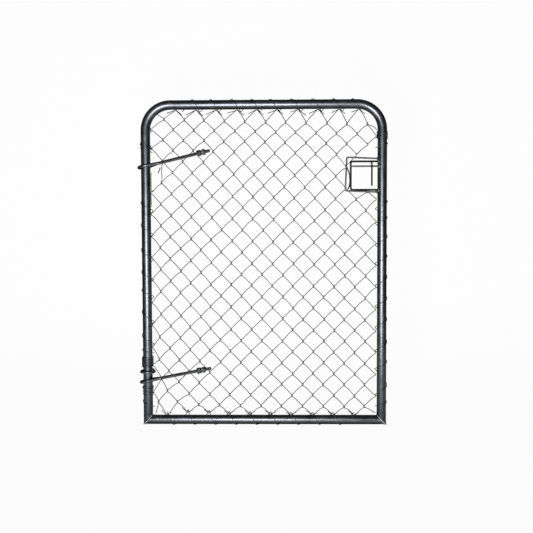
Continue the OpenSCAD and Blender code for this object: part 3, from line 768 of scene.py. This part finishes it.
nuggets = Shape()
spots = [(FACE - 0.4, 0, HOLE_Z), (FACE + 0.2, 0, HOLE_Z + HOLE_H), (front_x - 0.6, -HOOP_FRONT, HOOP_FOOT),
         (front_x - 0.6, -HOOP_FRONT, HOOP_HEAD), (front_x - 0.4, -HOOP_FRONT, RAIL_Z)]
for n, spot in enumerate(spots):
    nuggets.blob(Vector(spot), Matrix.Diagonal((4.6, 5.2, 5.4)), 3.1 * n + 1, 0.45, 1.7, 12)
nuggets.build("hand_hole_weld_nuggets", weld_finish, "weld", "leaf", "lock_welds", sharp=60)


# ---------- gudgeons ----------

def thread(run, turn, depth=0.75, pitch=1.75):
    """How deep a screw thread is cut at that run and angle. Its roots are a little flat."""
    lead = (run / pitch - turn / (2 * math.pi)) % 1.0
    return depth * max(0.0, 1 - 1.15 * abs(2 * lead - 1))


def gudgeon(name, body, eye, mount, seed, roll):
    """The bent rod with its weld, washer and two nuts. Its own axes stand at the eye, the shank along X."""
    shank = -Vector(mounts[mount]["axis"])
    centre = mm(eye)
    washer_at = (mm(mounts[mount]["pos_m"]) - centre).length
    rise = math.asin(shank.z)
    yaw = math.atan2(-shank.y, shank.x)
    pose = Matrix.Rotation(-yaw, 3, "Z") @ Matrix.Rotation(-rise, 3, "Y")

    def place(point):
        return centre + pose @ Vector(point)

    opening = math.acos(EYE_R / THROAT)
    strand = math.sqrt(THROAT ** 2 - EYE_R ** 2)
    turn = math.pi / 2 - opening
    bend_r = 15.0
    set_back = bend_r * math.tan(turn / 2)
    butt = (ROD_R + SEAT + ROD_R * math.cos(2 * turn)) / math.sin(2 * turn)

    def on_circle(t, tangent=0.0):
        """A point of the eye's circle, moved that far along the circle's tangent."""
        return Vector((EYE_R * math.cos(t) + tangent * math.sin(t),
                       EYE_R * math.sin(t) - tangent * math.cos(t), 0))

    rear_end = on_circle(opening, strand - butt)
    front_end = on_circle(-opening, -(strand - set_back))
    shank_start = Vector((THROAT + set_back, 0, 0))
    thread_start = Vector((washer_at - THREAD_BEFORE - 2, 0, 0))
    tip_start = Vector((REACH - TIP_CHAMFER, 0, 0))
    path = join(
        line(rear_end, on_circle(opening), 3),
        arc(Vector(), X, Y, EYE_R, opening, 2 * math.pi - opening, math.radians(5)),
        line(on_circle(-opening), front_end, 3),
        arc(shank_start - Y * bend_r, X, Y, bend_r, math.pi / 2 + turn, math.pi / 2, math.radians(4)),
        line(shank_start, thread_start, 6),
        line(thread_start, tip_start, 0.35),
        [Vector((REACH - 0.7, 0, 0)), Vector((REACH, 0, 0))])
    tip = sum((b - a).length for a, b in zip(path, path[1:])) - REACH
    chamfer = TIP_CHAMFER + 0.1

    def radius(run, angle):
        at = run - tip
        r = ROD_R - 0.08 + wobble(run / 14 + 2 * math.cos(angle), 0.08, seed)
        if at > washer_at - THREAD_BEFORE:
            r = ROD_R - thread(at, angle)
        if at > REACH - chamfer:
            r = min(r, ROD_R - TIP_CHAMFER * (at - REACH + chamfer) / chamfer)
        return r

    rod = Shape()
    rod.tube([place(point) for point in path], radius, 24)
    rod.build(name + "_rod", rod_finish, "rod", body, name + "_gudgeon", sharp=60)

    weld = Shape()
    lumps = [(0.62, 3.0, 0), (0.15, 5.6, 0.6), (0.95, 1.6, -0.6)]   # the first as a share of the butt
    for n, (share, y, z) in enumerate(lumps):
        at = place((THROAT - share * butt, y, z))
        weld.blob(at, pose @ Matrix.Diagonal((4.6, 3.6, 4.9)), seed + 2.7 * n, 0.5, 1.8, 12)
    weld.build(name + "_throat_bead", weld_finish, "weld", body, name + "_eye_weld", sharp=60)

    plate = Shape()
    rim, brim = WASHER_R - 0.4, 0.35
    outline = [(BORE_R, 0.0), (rim, 0.0), (WASHER_R, brim), (WASHER_R, WASHER_T - brim), (rim, WASHER_T),
               (BORE_R, WASHER_T)]
    turned(plate, place, washer_at, outline, 48)
    plate.build(name + "_plain_washer", bolt_finish, "fastener", body, name + "_washer", sharp=30)

    first = washer_at + WASHER_T + SEAT
    for label, at, spin in (("inner", first, roll), ("outer", first + NUT_H + NUT_SPACE, roll + 0.12)):
        nut = Shape()
        hexagon(nut, place, at, NUT_H, NUT_FLATS, spin)
        nut.build(f"{name}_{label}_hex_nut", bolt_finish, "fastener", body, f"{name}_{label}_nut", sharp=25)


def turned(shape, place, at, outline, sides):
    """A body of revolution round the shank. Its outline is given as pairs of radius and place along it."""
    angles = [2 * math.pi * s / sides for s in range(sides)]
    rings = [[place((at + along, r * math.cos(t), r * math.sin(t))) for t in angles] for r, along in outline]
    shape.rings(rings, [[tuple(point) for point in ring] for ring in rings], closed=True)


def hexagon(shape, place, at, height, flats, spin):
    """A hex nut: six flats, both ends chamfered to a circle, and a countersunk bore."""
    sides, steps, chamfer, sink = 72, 4, 1.1, 1.0
    inscribed = flats / 2
    corner = inscribed / math.cos(math.pi / 6)
    land = 0.96 * inscribed   # radius of the flat ring at each end

    def ring(limit, along):
        points = []
        for s in range(sides):
            t = 2 * math.pi * s / sides
            local = (t + math.pi / 6) % (math.pi / 3) - math.pi / 6
            r = min(inscribed / math.cos(local), limit)
            points.append(place((at + along, r * math.cos(t + spin), r * math.sin(t + spin))))
        return points

    cut = [(land + (corner - land) * k / steps, chamfer * k / steps) for k in range(steps + 1)]
    outer = [ring(limit, along) for limit, along in cut]
    back = [ring(limit, height - along) for limit, along in reversed(cut)]
    mouth = BORE_R + 0.75
    rings = [ring(BORE_R, sink), ring(mouth, 0.0), *outer, *back, ring(mouth, height),
             ring(BORE_R, height - sink)]
    shape.rings(rings, [[tuple(point) for point in one] for one in rings], closed=True)


gudgeon("upper", "upper_gudgeon", upper_eye, "upper_post_face", 21.0, 0.04)
gudgeon("lower", "lower_gudgeon", lower_eye, "lower_post_face", 31.0, -0.06)


# ---------- stage, light and camera ----------

def leaf_point(x, y, z):
    """A place given in millimetres from the foot of the hinge stile's axis, in the frame's metres."""
    return ORIGIN + Vector((x, y, z)) * MM


def total(tree, *sockets):
    """The sum of some sockets, held between nought and one."""
    sum_so_far = sockets[0]
    for socket in sockets[1:]:
        node = tree.nodes.new("ShaderNodeMath")
        node.operation = "ADD"
        node.use_clamp = True
        tree.links.new(sum_so_far, node.inputs[0])
        tree.links.new(socket, node.inputs[1])
        sum_so_far = node.outputs[0]
    return sum_so_far


def paper():
    """White paper, which camera, glossy and transmission rays see as an even glow. Its back is clear, so
    that the sheet doesn't hide the back of the leaf."""
    material = bpy.data.materials.new("white_sweep")
    material.use_nodes = True
    tree = material.node_tree
    nodes, links = tree.nodes, tree.links
    nodes.clear()
    out = nodes.new("ShaderNodeOutputMaterial")
    matt = nodes.new("ShaderNodeBsdfDiffuse")
    matt.inputs["Color"].default_value = (0.95, 0.95, 0.95, 1)
    glow = nodes.new("ShaderNodeEmission")
    glow.inputs["Strength"].default_value = 1.0
    rays = nodes.new("ShaderNodeLightPath").outputs
    seen = total(tree, rays["Is Camera Ray"], rays["Is Glossy Ray"], rays["Is Transmission Ray"])
    share = nodes.new("ShaderNodeMath")
    share.operation = "MULTIPLY"
    share.inputs[1].default_value = 0.95
    links.new(seen, share.inputs[0])
    front = nodes.new("ShaderNodeMixShader")
    links.new(share.outputs[0], front.inputs["Fac"])
    links.new(matt.outputs[0], front.inputs[1])
    links.new(glow.outputs[0], front.inputs[2])
    side = nodes.new("ShaderNodeNewGeometry")
    clear = nodes.new("ShaderNodeBsdfTransparent")
    both = nodes.new("ShaderNodeMixShader")
    links.new(side.outputs["Backfacing"], both.inputs["Fac"])
    links.new(front.outputs[0], both.inputs[1])
    links.new(clear.outputs[0], both.inputs[2])
    links.new(both.outputs[0], out.inputs["Surface"])
    return material


def white_sheet():
    """Floor and backdrop in one sweep."""
    middle, half, near, back, floor, head, bend_r = 510, 1500, -3000, 900, -1.6, 2000, 400
    profile = [(near, floor), (back - bend_r, floor)]
    for k in range(1, 13):
        t = math.pi / 24 * k
        profile.append((back - bend_r + bend_r * math.sin(t), floor + bend_r - bend_r * math.cos(t)))
    profile.append((back, head))
    points = [leaf_point(middle + side * half, y, z) for y, z in profile for side in (-1, 1)]
    faces = [(2 * k, 2 * k + 1, 2 * k + 3, 2 * k + 2) for k in range(len(profile) - 1)]
    mesh = bpy.data.meshes.new("white_sweep")
    mesh.from_pydata(points, [], faces)
    mesh.shade_smooth()
    mesh.materials.append(paper())
    sheet = bpy.data.objects.new("white_sweep", mesh)
    bpy.context.scene.collection.objects.link(sheet)


def dim_room():
    """A dim room round the sheet. What is seen past the sheet's edge is about as white as the sheet."""
    world = bpy.data.worlds.new("dim_room")
    world.use_nodes = True
    tree = world.node_tree
    rays = tree.nodes.new("ShaderNodeLightPath").outputs
    tone = tree.nodes.new("ShaderNodeMix")
    tone.data_type = "RGBA"
    tree.links.new(total(tree, rays["Is Camera Ray"], rays["Is Transmission Ray"]), tone.inputs[0])
    tone.inputs[6].default_value = (0.09, 0.09, 0.09, 1)
    tone.inputs[7].default_value = (0.99, 0.99, 0.99, 1)
    tree.links.new(tone.outputs[2], tree.nodes["Background"].inputs["Color"])
    bpy.context.scene.world = world


def soft_panel():
    """One soft lamp in front of the leaf, towards its hinge side."""
    lamp = bpy.data.lights.new("soft_front_panel", "AREA")
    lamp.shape = "RECTANGLE"
    lamp.size, lamp.size_y = 0.85, 0.95
    lamp.energy = 125
    panel = bpy.data.objects.new("soft_front_panel", lamp)
    bpy.context.scene.collection.objects.link(panel)
    panel.location = leaf_point(175, -3450, 370)
    panel.rotation_euler = (leaf_point(433, 0, 600) - panel.location).to_track_quat("-Z", "Y").to_euler()


def aim_camera():
    """The camera stands a little to the latch side of the middle and looks some 3 degrees down."""
    sensor, focal_share = 36, 900 / 533   # the focal length as a share of the picture's width
    yaw, pitch, roll = -0.02088, 0.05722, -0.0034231
    camera = bpy.data.objects.new("camera", bpy.data.cameras.new("camera"))
    bpy.context.scene.collection.objects.link(camera)
    camera.data.sensor_width = sensor
    camera.data.lens = sensor * focal_share
    look = Vector((math.cos(pitch) * math.sin(yaw), math.cos(pitch) * math.cos(yaw), -math.sin(pitch)))
    level = Vector((math.cos(yaw), -math.sin(yaw), 0))
    upright = level.cross(look)
    right = level * math.cos(roll) + upright * math.sin(roll)
    up = upright * math.cos(roll) - level * math.sin(roll)
    turned_to = Matrix((right, up, -look)).transposed().to_4x4()
    camera.matrix_world = Matrix.Translation(leaf_point(510.75, -3305.58, 775.90)) @ turned_to
    bpy.context.scene.camera = camera


white_sheet()
dim_room()
soft_panel()
aim_camera()
bpy.context.scene.view_settings.view_transform = "Standard"
